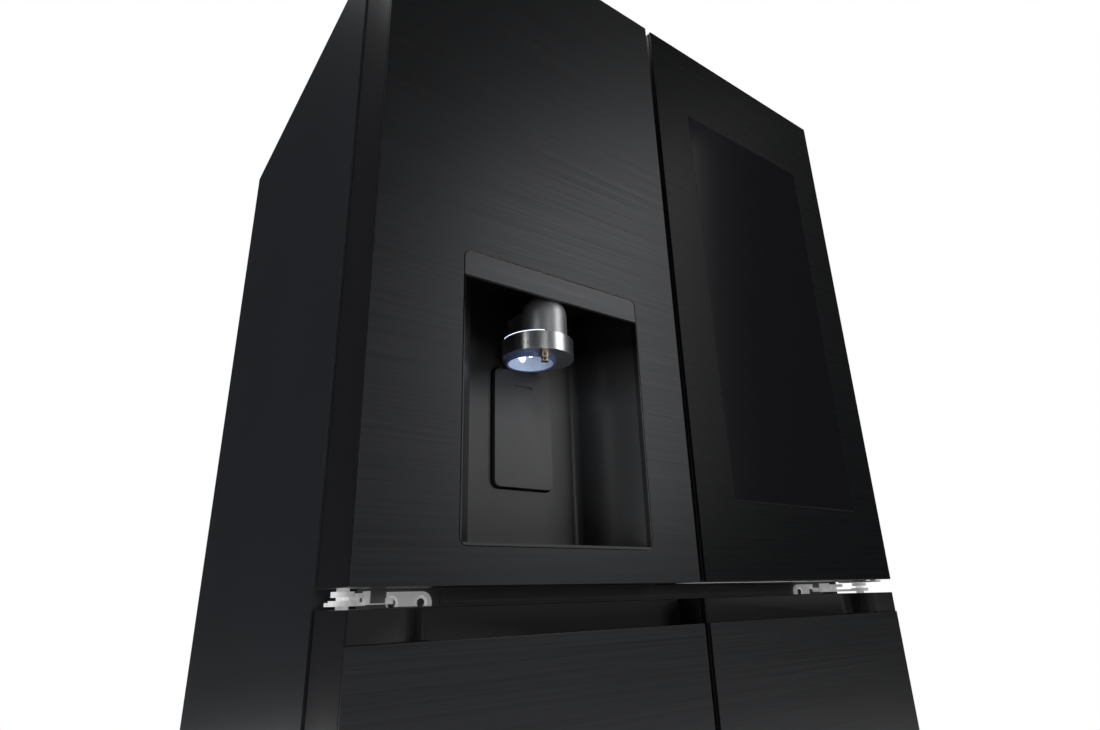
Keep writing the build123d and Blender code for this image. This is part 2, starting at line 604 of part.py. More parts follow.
def left_liner():
    """Inner face of the left door: plate, ridge, bulge behind the dispenser, flap brackets."""
    liner = box(-452, -8, DOOR_BACK, LINER_BACK, 876, 1777)
    liner += frame((-400, -62), (916, 1667), (LINER_BACK, DIKE_BACK), DIKE_WALL)
    liner += box(-388, -74, LINER_BACK, DIKE_BACK, 928, 1254)
    liner -= box(-270, -161, DOOR_BACK - 1, -254, 972, 1152)
    for z in (907.5, 1671.5):
        bracket = box(-56, -38, LINER_BACK - 1, -254, z, z + 5)
        bracket -= rod("Z", FLAP_PIN_R + RUN, (*FLAP_AXIS, z - 1), 7)
        liner += bracket
    return liner


def make_flap():
    """Folding seal strip that closes the gap between the upper doors."""
    strip = box(FLAP_AXIS[0], 2, -267.5, -251, *FLAP_Z)
    strip = fillet(strip.edges().filter_by(Axis.Z).sort_by(Axis.X)[-2:], 4)
    strip += rod("Z", 6, (*FLAP_AXIS, FLAP_Z[0]), FLAP_Z[1] - FLAP_Z[0])
    strip += rod("Z", FLAP_PIN_R, (*FLAP_AXIS, 908), 1676 - 908)
    save("mullion_flap", strip)


def make_left_bins():
    """Two bins on the bulge behind the dispenser."""
    bins = []
    for low in (934.0, 1100.0):
        bins.append(tray((-382, -80), (DIKE_BACK, -158), (low, low + 96)))
    save("left_door_bins", bins)


def make_ice_room():
    """Insulated ice box in the top of the left door, with its own small door and latch."""
    x, y, z = (-387.5, -74.5), (LINER_BACK, -140), (1262, 1654)
    shell = box(*x, *y, *z) - box(x[0] + 22, x[1] - 22, y[0] + 22, y[1] + 1, z[0] + 22, z[1] - 22)
    door = box(x[0], x[1], y[1], y[1] + 12, z[0], z[1])
    latch = box(-100, -86, y[1] + 12, y[1] + 20, 1430, 1486)
    bucket = tray((-360, -102), (y[0] + 26, y[1] - 4), (z[0] + 26, z[1] - 110))
    save("ice_room", shell, door + latch, bucket)


# ---- dispenser --------------------------------------------------------------------------------
def recess_cavity():
    """The space in the recess: side walls that leave a rounded back corner and flare to the mouth."""
    half = (RECESS_X[1] - RECESS_X[0]) / 2 - RECESS_LIP
    corner = RECESS_BACK_HALF - BACK_CORNER
    turn = BACK_CORNER * (1 - math.sqrt(0.5))
    sketch = []
    for side in (-1, 1):
        reaches = [(half, FRONT - 1), (half, FRONT + 8), FLARE_MIDDLE, FLARE_START,
                   (RECESS_BACK_HALF, RECESS_WALL_Y - BACK_CORNER),
                   (RECESS_BACK_HALF - turn, RECESS_WALL_Y - turn), (corner, RECESS_WALL_Y)]
        sketch.append([(RECESS_MID + side * reach, y) for reach, y in reaches])
    left, right = sketch
    outline = Line(left[0], right[0]) + Line(left[6], right[6])
    for points in sketch:
        outline += Line(points[0], points[1]) + ThreePointArc(points[1], points[2], points[3])
        outline += Line(points[3], points[4]) + ThreePointArc(points[4], points[5], points[6])
    return Pos(0, 0, RECESS_FLOOR) * extrude(make_face(outline), RECESS_CEILING - RECESS_FLOOR)


def tray_well(grow, top):
    """The well for the drip tray, grown on its sides and below."""
    x = RECESS_MID - TRAY_HALF - 1 - grow, RECESS_MID + TRAY_HALF + 1 + grow
    y = TRAY_Y[0] - 1 - grow / 2, TRAY_Y[1] + 1 + grow
    return box(*x, *y, RECESS_FLOOR - TRAY_DEEP - 0.3 - grow, top)


def make_recess():
    """Moulded shell that lines the recess, with the pocket that holds the lever."""
    shell = recess_hole(0, FRONT, -281)
    shell -= recess_cavity()
    shell -= header_block(FIT_GAP, 0)
    shell += box(-268.5, -162.5, -281, -256, 974, 1150) + tray_well(TRAY_CASE, RECESS_FLOOR - 1)
    side = LEVER_HALF + POCKET_MARGIN
    pocket_x = (RECESS_MID - side, RECESS_MID + side)
    pocket_z = (LEVER_Z[0] - POCKET_MARGIN, LEVER_Z[1] + POCKET_MARGIN)
    shell -= rounded(pocket_x, (RECESS_WALL_Y - 1, -259), pocket_z, 8 + POCKET_MARGIN)
    shell -= tray_well(0, RECESS_FLOOR + 1)
    shell -= rod("X", LEVER_PIN_R + RUN, (-267, *LEVER_PIVOT), 103)
    save("dispenser_recess", shell)


def header_block(grow, shrink):
    """The control strip across the top of the recess, flush with the door."""
    outline = recess_hole(-shrink, FRONT, FRONT + HEADER_DEPTH + grow)
    keep = box(RECESS_X[0], RECESS_X[1], FRONT - 1, FRONT + HEADER_DEPTH + 1, HEADER_Z - grow, RECESS_Z[1])
    return outline & keep


def make_spout():
    """Control strip, spout body, ring, lit chute and water nozzle."""
    save("dispenser_header", header_block(0, 0))
    dome = rod("Z", BODY_R, (RECESS_MID, BODY_Y, RING_Z[1]), DOME_Z - RING_Z[1])
    dome += Pos(RECESS_MID, BODY_Y, DOME_Z) * Sphere(BODY_R)
    dome -= box(-300, -100, FRONT - 20, -200, RING_Z[1] - 60, RING_Z[1])
    neck = box(RECESS_MID - 20, RECESS_MID + 20, BODY_Y, RECESS_WALL_Y, RING_Z[1] + 4, DOME_Z + 12)
    save("spout_body", dome + neck)
    ring = rod("Z", RING_R, (RECESS_MID, RING_Y, RING_Z[0]), RING_Z[1] - RING_Z[0])
    ring &= box(-300, -100, FRONT - 20, RECESS_WALL_Y - 1, RING_Z[0], RING_Z[1])
    ring -= rod("Z", CHUTE_R + 0.3, (*CHUTE_AT, RING_Z[0] - 1), CHUTE_Z[1] - RING_Z[0] + 1)
    ring -= rod("Z", 5.8, (*NOZZLE_AT, RING_Z[0] - 1), NOZZLE_Z[1] + 1 - RING_Z[0])
    save("spout_ring", ring)
    cup = rod("Z", CHUTE_R, (*CHUTE_AT, CHUTE_Z[0]), CHUTE_Z[1] - CHUTE_Z[0])
    cup -= rod("Z", CHUTE_R - 3, (*CHUTE_AT, CHUTE_Z[0] - 1), 15)
    save("chute_lens", cup)
    nozzle = rod("Z", 5.5, (*NOZZLE_AT, NOZZLE_Z[0]), NOZZLE_Z[1] - NOZZLE_Z[0])
    nozzle -= rod("Z", 3.5, (*NOZZLE_AT, NOZZLE_Z[0] - 1), 12)
    save("water_nozzle", nozzle)


def make_lever():
    """The paddle behind the glass, hinged on a pin near its top."""
    x = (RECESS_MID - LEVER_HALF, RECESS_MID + LEVER_HALF)
    paddle = rounded(x, (LEVER_Y, LEVER_Y + LEVER_THICK), LEVER_Z, 8)
    paddle -= box(RECESS_MID - 13, RECESS_MID + 13, LEVER_Y - 1, LEVER_Y + 1.2, 1116, 1119)
    boss = box(x[0] + 6, x[1] - 6, LEVER_Y + LEVER_THICK - 1, LEVER_PIVOT[0], LEVER_PIVOT[1] - 5, LEVER_PIVOT[1] + 5)
    boss += rod("X", 5, (x[0] + 6, *LEVER_PIVOT), 2 * LEVER_HALF - 12)
    pin = rod("X", LEVER_PIN_R, (RECESS_MID - 50, *LEVER_PIVOT), 100)
    save("dispenser_lever", paddle + boss + pin)


def make_drip_tray():
    """Catch tray with a slotted top, sunk into the floor of the recess."""
    low = RECESS_FLOOR - TRAY_DEEP
    x0, x1 = RECESS_MID - TRAY_HALF, RECESS_MID + TRAY_HALF
    y0, y1 = TRAY_Y
    shell = box(x0, x1, y0, y1, low, RECESS_FLOOR)
    shell -= box(x0 + 3, x1 - 3, y0 + 3, y1 - 3, low + 2, low + 7)
    for index in range(12):
        x = RECESS_MID - 80 + index * 14
        shell -= box(x, x + 6, y0 + 8, y1 - 7, low + 6, RECESS_FLOOR + 1)
    save("drip_tray", shell)


# ---- right doors ------------------------------------------------------------------------------
def view_ear(z0, z1, pin_z):
    """Arm on the inner door that carries a pin of the viewing door."""
    ear = box(430, 454, VIEW_HINGE_Y, -290, z0, z1) + rod("Z", 11, (HINGE_X, VIEW_HINGE_Y, z0), z1 - z0)
    ear -= rod("Z", PIN_R + 0.5, (HINGE_X, HINGE_Y, z0 - 1), z1 - z0 + 2)
    return ear + rod("Z", VIEW_PIN_R, (HINGE_X, VIEW_HINGE_Y, pin_z[0]), pin_z[1] - pin_z[0])


def make_inner_right():
    """Inner right door: bars round a reach-through opening, a ridge, and sockets and arms for pins."""
    body = bars(RIGHT_X, UPPER_Z, REACH_X, REACH_Z, (INNER_FRONT, DOOR_BACK))
    face = bars((8, 452), (876, 1777), REACH_X, REACH_Z, (DOOR_BACK, LINER_BACK))
    left, right, bottom, top = [bar + sheet for bar, sheet in zip(body, face)]
    for z in (UPPER_Z[1] - SOCKET_TALL, UPPER_Z[0]):
        right += box(*SOCKET_X, SOCKET_Y, INNER_FRONT, z, z + SOCKET_TALL)
    for z in (UPPER_Z[1] - 20, UPPER_Z[0] - 1):
        right -= rod("Z", PIN_R + RUN, (HINGE_X, HINGE_Y, z), 21)
    right += view_ear(UPPER_Z[1], UPPER_Z[1] + 2.5, (1762, UPPER_Z[1] + 1))
    right += view_ear(UPPER_Z[0] - 2.5, UPPER_Z[0], (UPPER_Z[0] - 1, 890))
    ridge_x, ridge_z = (62, 400), (916, 1667)
    hollow_x = (ridge_x[0] + DIKE_WALL, ridge_x[1] - DIKE_WALL)
    hollow_z = (ridge_z[0] + DIKE_WALL, ridge_z[1] - DIKE_WALL)
    ridge = bars(ridge_x, ridge_z, hollow_x, hollow_z, (LINER_BACK, DIKE_BACK))
    save("right_inner_door", left, right, bottom, top, ridge)
    save("right_inner_gasket", seal((12, SEAL_EDGE), UPPER_SEAL_Z, CASE_SEAL_Y))


def make_right_bins():
    """Bins that hang on the inner right door behind its opening."""
    bins = []
    for low in (940.0, 1120.0, 1300.0, 1480.0):
        bins.append(tray((76, 386), (LINER_BACK + 2, -160), (low, low + 100)))
    save("right_door_bins", bins)


def make_viewing_door():
    """Outer right door: skin, core, double glass and seal."""
    z = (UPPER_Z[0] + 1, UPPER_Z[1] - 1)
    window = box(GLASS_X[0], GLASS_X[1], FRONT - 1, VIEW_BACK + 1, *GLASS_Z)
    save("right_outer_skin", door_skin(RIGHT_X, z) - window)
    core = box(RIGHT_X[0] + SKIN, RIGHT_X[1] - SKIN, FRONT + SKIN, VIEW_BACK, z[0] + SKIN, z[1] - SKIN) - window
    for low in (1760.0, 872.0):
        core -= rod("Z", VIEW_PIN_R + RUN, (HINGE_X, VIEW_HINGE_Y, low), 20)
    notch_x = (SOCKET_X[0] - SOCKET_GAP, DOOR_EDGE + 1)
    notch_y = (SOCKET_Y - SOCKET_ROOM, VIEW_BACK + 1)
    reach = SOCKET_TALL + SOCKET_GAP
    core -= box(*notch_x, *notch_y, UPPER_Z[1] - reach, UPPER_Z[1])
    core -= box(*notch_x, *notch_y, UPPER_Z[0], UPPER_Z[0] + reach)
    save("right_outer_core", core)
    gap = 0.3
    x = (GLASS_X[0] + gap, GLASS_X[1] - gap)
    tall = (GLASS_Z[0] + gap, GLASS_Z[1] - gap)
    front_pane = box(*x, FRONT, FRONT + PANE, *tall)
    rear_pane = box(*x, VIEW_BACK - PANE - 2, VIEW_BACK - 2, *tall)
    inner_x = (x[0] + SPACER, x[1] - SPACER)
    inner_z = (tall[0] + SPACER, tall[1] - SPACER)
    spacers = bars(x, tall, inner_x, inner_z, (FRONT + PANE, VIEW_BACK - PANE - 2))
    save("glass_panel", front_pane, rear_pane, spacers)
    save("right_outer_gasket", seal((40, SEAL_EDGE), (904, 1749), (VIEW_BACK, INNER_FRONT - 0.3)))


# ---- lower doors ------------------------------------------------------------------------------
def lower_skin():
    """Front sheet of the left lower door."""
    return door_skin(LOW_X, LOWER_Z)


def lower_core():
    """Foam core with the inner liner's plate and ridge."""
    core = box(LOW_X[0] + SKIN, LOW_X[1] - SKIN, FRONT + SKIN, DOOR_BACK, LOWER_Z[0] + SKIN, CAP_BASE)
    core += box(-452, -8, DOOR_BACK, LINER_BACK, 66, CAP_BASE)
    core += frame((-400, -38), (124, 760), (LINER_BACK, DIKE_BACK), DIKE_WALL)
    return core - rod("Z", PIN_R + RUN, (-HINGE_X, HINGE_Y, 60), 24)


def lower_cap():
    """Plastic cap along the top of the left lower door, with the finger grip moulded in."""
    x0, x1 = LOW_X[0] + SKIN, LOW_X[1] - SKIN
    start, end = GRIP_START
    mouth = FRONT + SKIN
    wall = FRONT + GRIP_DEPTH
    cap = box(x0, x1, mouth, DOOR_BACK, CAP_BASE, CAP_TOP)
    cap += box(-452, -8, DOOR_BACK, LINER_BACK, CAP_BASE, CAP_TOP - 2)
    middle = ((start + end) / 2, (mouth + wall) / 2)
    curve = ThreePointArc((start, mouth), (start + 14, mouth + 5.5), middle)
    curve += ThreePointArc(middle, (end - 14, wall - 5.5), (end, wall))
    rest = Polyline((end, wall), (x1 + 1, wall), (x1 + 1, mouth - 1), (start, mouth - 1), (start, mouth))
    grip = Pos(0, 0, LOWER_Z[1] - SKIN) * extrude(make_face(curve + rest), 60)
    well = box(end + 2, x1 + 1, FRONT + LIP_DEPTH, wall, CAP_BASE + 10, LOWER_Z[1] + 1)
    step = box(x0 - 1, x1 + 1, FRONT - 1, FRONT + SKIN_RETURN, CAP_BASE - 1, LOWER_Z[1])
    step -= box(x0, x1, mouth, FRONT + SKIN_RETURN, CAP_BASE - 1, LOWER_Z[1] - SKIN)
    cap -= grip + well + step
    return cap - rod("Z", PIN_R + RUN, (-HINGE_X, HINGE_Y, 836), 20)


def make_lower_doors():
    """The two lower doors are mirror images."""
    pieces = {"skin": lower_skin(), "core": lower_core(), "cap": lower_cap(),
              "gasket": seal((-SEAL_EDGE, -12), LOWER_SEAL_Z, CASE_SEAL_Y)}
    for name, piece in pieces.items():
        save(f"lower_left_{name}", piece)
        save(f"lower_right_{name}", mirrored(piece))


def main():
    os.makedirs("parts", exist_ok=True)
    make_wrapper()
    make_back_panel()
    make_foam()
    make_fridge_liner()
    make_freezer_liners()
    make_middle_beam()
    make_light_panel()
    make_ducts()
    make_evaporator()
    make_shelves()
    make_crispers()
    make_freezer_drawers()
    make_base()
    make_toe_grille()
    make_machine_room_cover()
    make_compressor()
    make_condenser()
    make_fans()
    make_rear_connections()
    make_feet()
    make_rollers()
    make_hinges()
    make_left_door()
    make_flap()
    make_left_bins()
    make_ice_room()
    make_recess()
    make_spout()
    make_lever()
    make_drip_tray()
    make_inner_right()
    make_right_bins()
    make_viewing_door()
    make_lower_doors()


main()
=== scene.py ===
"""Looks of the four-door refrigerator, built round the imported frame. Metres, in the row frame."""
import json
import math

import bmesh
import bpy
from mathutils import Matrix, Vector


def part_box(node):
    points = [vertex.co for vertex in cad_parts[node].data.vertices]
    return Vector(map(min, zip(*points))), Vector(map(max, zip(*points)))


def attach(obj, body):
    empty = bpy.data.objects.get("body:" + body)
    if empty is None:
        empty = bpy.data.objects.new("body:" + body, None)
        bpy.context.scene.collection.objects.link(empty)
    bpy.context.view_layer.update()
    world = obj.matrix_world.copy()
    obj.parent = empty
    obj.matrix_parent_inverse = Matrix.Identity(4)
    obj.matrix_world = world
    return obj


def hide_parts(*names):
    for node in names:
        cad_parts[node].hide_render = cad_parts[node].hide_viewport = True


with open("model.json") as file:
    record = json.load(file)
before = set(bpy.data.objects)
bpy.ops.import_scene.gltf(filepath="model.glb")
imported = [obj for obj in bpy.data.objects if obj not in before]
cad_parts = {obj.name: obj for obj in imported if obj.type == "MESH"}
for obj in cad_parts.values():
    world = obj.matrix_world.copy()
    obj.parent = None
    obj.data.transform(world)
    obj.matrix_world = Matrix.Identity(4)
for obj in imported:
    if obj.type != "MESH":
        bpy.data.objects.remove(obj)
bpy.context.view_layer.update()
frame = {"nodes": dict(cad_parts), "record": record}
NODES = frame["nodes"]
BODY_OF = {n: b for b, members in frame["record"]["behaviour"]["bodies"].items() for n in members}
SLOT_OF = {s["node"]: s["material_slot"] for s in frame["record"]["subparts"]}
MM = 0.001

# Sizes and places in mm, in the row frame.
SKIN_RETURN = 4.0                              # how far a door's front sheet folds back
REACH_X, REACH_Z = (92, 368), (935, 1660)      # the hole through the inner right door
SHELF_LEVELS = (1088, 1290, 1480)              # heights of the glass shelves
SHELF_SPANS = ((-402, -5), (5, 402))           # the left and right shelf, along X
LEFT_BIN_LOWS, LEFT_BIN_HEIGHT = (934, 1100), 96
RIGHT_BIN_LOWS, RIGHT_BIN_HEIGHT = (940, 1120, 1300, 1480), 100
DRAWER_TOPS = (290, 540, 800)                  # upper rims of the freezer drawers
GRIP_SPANS = ((-320, -116), (116, 320))        # the left and right drawer's grip, along X
LAMP_OFFSETS = ((-16, 2), (-5, 11), (-6, -9))  # the chute's lamps, from its centre
STRIP_X, STRIP_Z = (-301, -130), (1207.4, 1209.8)
CLIP_X, CLIP_Z = (-128.5, -126), (1222, 1232)
COVER_SCREWS_X, COVER_SCREWS_Z = (-430, -100, 90, 250, 430), (52, 250)
INLET_AT = (330, 0, 195)                       # a point on the axis of the water inlet
PIPE_RADIUS = 3.6
BACK_SCREW_SCALE = 0.45                        # size of the back's screws, as a share of SCREW_HEAD
# The outline of a screw head, as (radius, height) points.
SCREW_HEAD = [(0.0, 0.0), (3.6, 0.0), (3.6, 0.6), (3.2, 1.5), (2.2, 2.0), (1.5, 2.1), (1.5, 1.2), (0.0, 1.2)]

# The stage, in metres.
AMBIENT = 0.02
FLOOR_RADIUS = 4.0
CAMERA_AT = (-0.6659, -0.9595, 0.8583)
CAMERA_TURN = (36.39, 19.70, -1.66)            # yaw to the right, pitch up and roll, in degrees
CAMERA_LENS = 21.39                            # focal length in mm, for a film 36 mm wide


# ---- material helpers -------------------------------------------------------------------------
RANGE_SOCKETS = ("From Min", "From Max", "To Min", "To Max")
NOISE_SPAN = (0.3, 0.7)      # most of the noise lies between these values


class Shader:
    """A material with one Principled shader and short calls for its procedural nodes."""

    def __init__(self, name, colour, roughness, metallic=0.0, **sockets):
        self.material = bpy.data.materials.new(name)
        self.material.use_nodes = True
        self.tree = self.material.node_tree
        self.bsdf = self.tree.nodes["Principled BSDF"]
        self.colour = (*colour, 1.0)
        self.set("Base Color", self.colour)
        self.set("Roughness", roughness)
        self.set("Metallic", metallic)
        for socket, value in sockets.items():
            self.set(socket.replace("_", " "), value)
        self.roughness = roughness
        self.last_bump = None

    def set(self, socket, value):
        """Sets one input of the shader."""
        self.bsdf.inputs[socket].default_value = value

    def node(self, kind, **settings):
        """Adds a node with its settings."""
        made = self.tree.nodes.new(kind)
        for key, value in settings.items():
            setattr(made, key, value)
        return made

    def link(self, source, target):
        """Joins an output to an input."""
        self.tree.links.new(source, target)

    def coordinates(self, scale):
        """Object coordinates, stretched along each axis."""
        place = self.node("ShaderNodeTexCoord")
        mapping = self.node("ShaderNodeMapping")
        mapping.inputs["Scale"].default_value = scale
        self.link(place.outputs["Object"], mapping.inputs["Vector"])
        return mapping.outputs["Vector"]

    def noise(self, scale, detail=2.0):
        """Noise between 0 and 1."""
        made = self.node("ShaderNodeTexNoise")
        made.inputs["Scale"].default_value = 1.0
        made.inputs["Detail"].default_value = detail
        self.link(self.coordinates(scale), made.inputs["Vector"])
        return made.outputs["Fac"]

    def fill_range(self, remap, from_low, from_high, to_low, to_high):
        """Sets both ranges of a Map Range node."""
        for socket, value in zip(RANGE_SOCKETS, (from_low, from_high, to_low, to_high)):
            remap.inputs[socket].default_value = value

    def vary_colour(self, value, low, high):
        """Scales the base colour between two factors."""
        ramp = self.node("ShaderNodeValToRGB")
        for element, position, factor in zip(ramp.color_ramp.elements, NOISE_SPAN, (low, high)):
            element.position = position
            element.color = (*[c * factor for c in self.colour[:3]], 1.0)
        self.link(value, ramp.inputs["Fac"])
        self.link(ramp.outputs["Color"], self.bsdf.inputs["Base Color"])

    def vary_roughness(self, value, spread):
        """Moves the roughness up and down by a spread."""
        remap = self.node("ShaderNodeMapRange")
        low, high = max(0.02, self.roughness - spread), min(1.0, self.roughness + spread)
        self.fill_range(remap, *NOISE_SPAN, low, high)
        self.link(value, remap.inputs["Value"])
        self.link(remap.outputs["Result"], self.bsdf.inputs["Roughness"])

    def fall_off(self, strength, point, near, far):
        """Weakens the emission with the distance from a point."""
        place = self.node("ShaderNodeTexCoord")
        reach = self.node("ShaderNodeVectorMath", operation="DISTANCE")
        reach.inputs[1].default_value = point
        remap = self.node("ShaderNodeMapRange", interpolation_type="SMOOTHSTEP")
        self.fill_range(remap, near, far, strength, 0.0)
        self.link(place.outputs["Object"], reach.inputs[0])
        self.link(reach.outputs["Value"], remap.inputs["Value"])
        self.link(remap.outputs["Result"], self.bsdf.inputs["Emission Strength"])

    def paint_shade_with_height(self, low, high, factor):
        """Paints shade on: darkens the colour and the gloss with height, from full at one level to a factor at
        another.
        """
        place = self.node("ShaderNodeTexCoord")
        split = self.node("ShaderNodeSeparateXYZ")
        remap = self.node("ShaderNodeMapRange")
        self.fill_range(remap, low, high, 1.0, factor)
        self.link(place.outputs["Object"], split.inputs["Vector"])
        self.link(split.outputs["Z"], remap.inputs["Value"])
        colour = self.node("ShaderNodeVectorMath", operation="SCALE")
        gloss = self.node("ShaderNodeMath", operation="MULTIPLY")
        gloss.inputs[1].default_value = self.bsdf.inputs["Specular IOR Level"].default_value
        self.link(self.bsdf.inputs["Base Color"].links[0].from_socket, colour.inputs[0])
        self.link(remap.outputs["Result"], colour.inputs["Scale"])
        self.link(remap.outputs["Result"], gloss.inputs[0])
        self.link(colour.outputs["Vector"], self.bsdf.inputs["Base Color"])
        self.link(gloss.outputs["Value"], self.bsdf.inputs["Specular IOR Level"])

    def bump(self, value, distance, strength=0.5):
        """Adds one layer of bump."""
        made = self.node("ShaderNodeBump")
        made.inputs["Strength"].default_value = strength
        made.inputs["Distance"].default_value = distance
        self.link(value, made.inputs["Height"])
        if self.last_bump:
            self.link(self.last_bump, made.inputs["Normal"])
        self.last_bump = made.outputs["Normal"]
        self.link(self.last_bump, self.bsdf.inputs["Normal"])


def brushed(name, colour, roughness, metallic, contrast=0.12, **sockets):
    """Brushed metal: streaks along X, at a fine and a coarse scale."""
    length, fine, coarse = 3.0, 1300.0, 260.0
    shader = Shader(name, colour, roughness, metallic, **sockets)
    grain = shader.noise((length, fine, fine), detail=3.0)
    streak = shader.noise((length, coarse, coarse), detail=2.0)
    shader.vary_colour(streak, 1 - contrast, 1 + contrast)
    shader.vary_roughness(grain, 0.06)
    shader.bump(grain, 0.00006, 0.35)
    return shader.material


def moulded(name, colour, roughness, grain=2200.0, depth=0.00005, shade=None, **sockets):
    """Moulded plastic with a fine spark-eroded grain and faint colour drift; it can have painted shade that
    darkens it with height.
    """
    shader = Shader(name, colour, roughness, **sockets)
    speck = shader.noise((grain, grain, grain), detail=2.0)
    drift = shader.noise((9.0, 9.0, 9.0), detail=3.0)
    shader.vary_colour(drift, 0.95, 1.05)
    shader.vary_roughness(speck, 0.05)
    shader.bump(speck, depth, 0.4)
    if shade:
        shader.paint_shade_with_height(*shade)
    return shader.material


def painted(name, colour, roughness, **sockets):
    """Stoved paint on sheet steel: orange peel and a fine texture."""
    shader = Shader(name, colour, roughness, **sockets)
    peel = shader.noise((420.0, 420.0, 420.0), detail=2.0)
    fine = shader.noise((1900.0, 1900.0, 1900.0), detail=2.0)
    drift = shader.noise((4.0, 4.0, 4.0), detail=3.0)
    shader.vary_colour(drift, 0.93, 1.07)
    shader.vary_roughness(fine, 0.04)
    shader.bump(peel, 0.00012, 0.3)
    shader.bump(fine, 0.00005, 0.3)
    return shader.material


def clear(name, colour, roughness, transmission, **sockets):
    """Glass or clear plastic with a faintly uneven surface."""
    shader = Shader(name, colour, roughness, Transmission_Weight=transmission, **sockets)
    wave = shader.noise((26.0, 26.0, 26.0), detail=2.0)
    shader.bump(wave, 0.0002, 0.1)
    return shader.material


def lit(name, colour, strength, core=None):
    """A glowing surface, for a lamp's diffuser or for a painted glint: it glows unevenly, and its light can
    fall off from a core (point, near, far).
    """
    shader = Shader(name, colour, 0.3)
    shader.set("Emission Color", (*colour, 1.0))
    shader.set("Emission Strength", strength)
    if core:
        shader.fall_off(strength, *core)
    cloud = shader.noise((60.0, 60.0, 60.0), detail=2.0)
    shader.vary_colour(cloud, 0.85, 1.1)
    return shader.material


def steel_finishes():
    """Sheet steel, glass and paint of the outside."""
    return {
        "black_steel": brushed("black_steel", (0.030, 0.031, 0.033), 0.36, 0.7, Specular_IOR_Level=0.5),
        # A darker copy of the door steel, for the right door's sheet: painted shade that keeps it darker than
        # the left door.
        "steel_painted_shade": brushed("steel_painted_shade", (0.007, 0.0075, 0.0082), 0.31, 0.2,
                                Specular_IOR_Level=0.10),
        "header_metal": brushed("header_metal", (0.048, 0.049, 0.052), 0.38, 0.6, contrast=0.03),
        "cabinet_paint": painted("cabinet_paint", (0.018, 0.020, 0.024), 0.34, Specular_IOR_Level=0.3),
        # The middle beam's paint is lightened: painted light, standing in for the light that reaches it in the
        # gap between the doors.
        "beam_painted_light": painted("beam_painted_light", (0.16, 0.163, 0.17), 0.45),
        "tinted_glass": clear("tinted_glass", (0.008, 0.008, 0.010), 0.14, 0.0, Specular_IOR_Level=0.2),
        "galvanised": painted("galvanised", (0.42, 0.43, 0.44), 0.42, Metallic=0.8),
        "back_sheet": painted("back_sheet", (0.36, 0.37, 0.38), 0.5, Metallic=0.5),
    }


def plastic_finishes():
    """Moulded plastics, foam and rubber."""
    return {
        # Painted shade: the recess darkens towards the top, in place of the shadow under the header.
        "recess_plastic": moulded("recess_plastic", (0.033, 0.034, 0.036), 0.40,
                                  shade=(1.095, 1.180, 0.12), Specular_IOR_Level=0.45),
        # Painted shade: the paddle darkens towards its top, in place of the shadow under the header.
        "paddle_plastic": moulded("paddle_plastic", (0.045, 0.046, 0.049), 0.42, shade=(1.070, 1.150, 0.3)),
        "foam": moulded("foam", (0.72, 0.66, 0.48), 0.9, grain=500.0, depth=0.0003),
        "white_liner": moulded("white_liner", (0.80, 0.81, 0.82), 0.28, depth=0.00001),
        "dark_plastic": moulded("dark_plastic", (0.022, 0.023, 0.025), 0.45),
        "edge_plastic": moulded("edge_plastic", (0.010, 0.010, 0.012), 0.36, Specular_IOR_Level=0.25),
        "cap_plastic": moulded("cap_plastic", (0.011, 0.011, 0.012), 0.42, Specular_IOR_Level=0.2),
        "grey_plastic": moulded("grey_plastic", (0.30, 0.31, 0.32), 0.5),
        "white_plastic": moulded("white_plastic", (0.74, 0.75, 0.76), 0.38),
        "clear_plastic": clear("clear_plastic", (0.86, 0.92, 0.95), 0.12, 0.85, IOR=1.49),
        "shelf_glass": clear("shelf_glass", (0.84, 0.93, 0.92), 0.03, 0.95, IOR=1.5),
        "seal_rubber": moulded("seal_rubber", (0.05, 0.05, 0.055), 0.7),
        "roller_nylon": moulded("roller_nylon", (0.05, 0.05, 0.052), 0.55),
    }


def metal_finishes():
    """Plated, turned and cast parts."""
    return {
        # Painted light: the zinc glows faintly, which brightens the shaded hinge plates between the doors, and
        # every other zinc part too.
        "zinc": moulded("zinc", (0.96, 0.96, 0.97), 0.40, depth=0.00002, Metallic=0.1,
                        Emission_Strength=0.18, Emission_Color=(1.0, 1.0, 1.0, 1.0)),
        "screw_steel": moulded("screw_steel", (0.16, 0.16, 0.17), 0.28, depth=0.00001, Metallic=1.0),
        "satin_metal": moulded("satin_metal", (0.70, 0.71, 0.73), 0.30, depth=0.00001, Metallic=1.0),
        "body_metal": moulded("body_metal", (0.48, 0.485, 0.50), 0.44, depth=0.00001, Metallic=0.95),
        "nozzle_brass": moulded("nozzle_brass", (0.34, 0.31, 0.24), 0.30, depth=0.00001, Metallic=1.0),
        "pump_black": painted("pump_black", (0.012, 0.012, 0.012), 0.35),
        "copper": brushed("copper", (0.68, 0.33, 0.20), 0.3, 1.0),
        "alu_fins": brushed("alu_fins", (0.68, 0.69, 0.71), 0.35, 1.0),
    }


def lit_finishes():
    """The dispenser's and the cabinet's lamps, and the painted glint on the strip in the recess."""
    return {
        "lit_lens": lit("lit_lens", (0.62, 0.76, 1.0), 0.85, ((-0.242, -0.322, 1.15), 0.004, 0.021)),
        "rim_glow": lit("rim_glow", (0.06, 0.09, 0.20), 0.08),
        "lamp_spot": lit("lamp_spot", (0.95, 0.97, 1.0), 2.0),
        "line_glow": lit("line_glow", (0.75, 0.85, 1.0), 2.0),
        # Painted glint: the satin strip glows faintly, in place of the light that it catches.
        "painted_strip_glint": lit("painted_strip_glint", (0.80, 0.86, 0.96), 0.22),
        "lamp_lens": lit("lamp_lens", (0.95, 0.97, 1.0), 1.5),
    }


